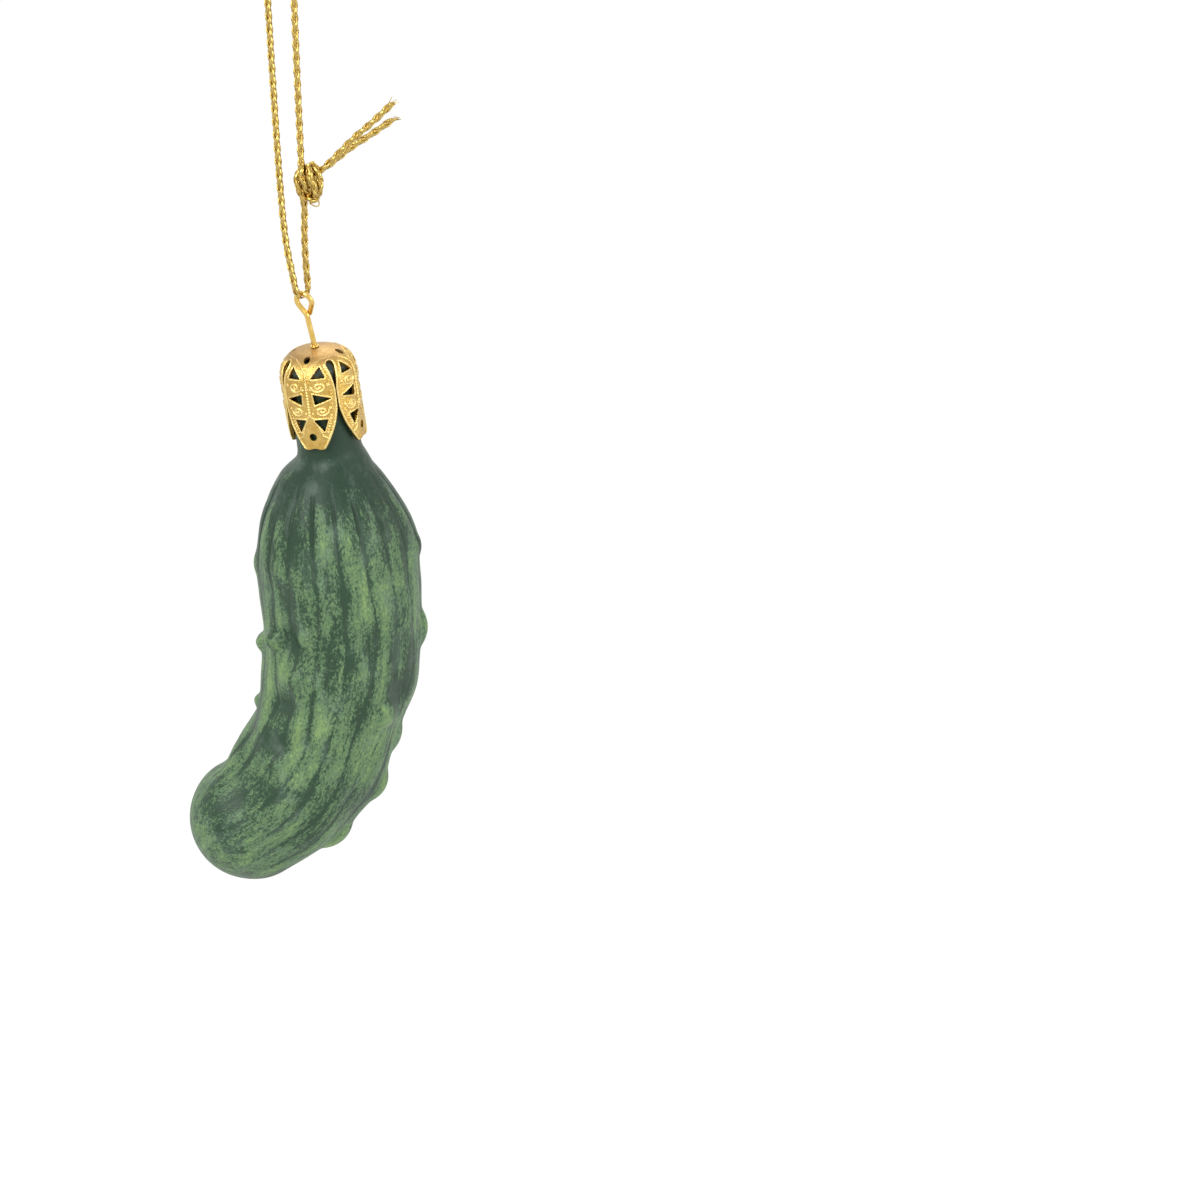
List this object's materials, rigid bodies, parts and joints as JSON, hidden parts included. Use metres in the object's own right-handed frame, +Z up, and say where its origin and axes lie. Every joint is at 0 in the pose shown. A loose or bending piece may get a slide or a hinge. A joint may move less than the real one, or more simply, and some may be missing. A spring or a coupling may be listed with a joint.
{
  "type": "hanging pickle ornament",
  "caption": "Curved, warty blown-glass pickle with a pierced brass cap, hung by a wire eye from a knotted gold cord loop; it swings on the cord and turns on its pin.",
  "frame": {"origin": "the point where a hook bears on the inside of the cord loop's top", "axes": "+Z up along the hanging cord, +X to the right of the front, -Y towards the viewer"},
  "size_m": [0.0292, 0.0199, 0.1243],
  "materials": {
    "painted_glass": "satin paint, dry-brushed",
    "gilt_cap": "bright gilt",
    "gilt_wire": "polished",
    "glue": "dried glue",
    "gold_cord": "metallic braid"
  },
  "bodies": {
    "cord": {"hanging_cord": "gold_cord", "cord_knot": "gold_cord", "cord_tails": "gold_cord"},
    "pin": {"eye_pin": "gilt_wire"},
    "pickle": {"glass_body": "painted_glass", "filigree_cap": "gilt_cap", "cap_adhesive": "glue"}
  },
  "joints": [
    {"name": "eye_swing", "type": "hinge", "parent": "cord", "child": "pin", "pos_m": [0.0016, 0, -0.051], "axis": [-0.6224, -0.7724, -0.1265], "range_deg": [-60, 60]},
    {"name": "pickle_swivel", "type": "hinge", "parent": "pin", "child": "pickle", "pos_m": [0.00277, 0, -0.05673], "axis": [-0.1991, 0, 0.98], "continuous": true}
  ]
}
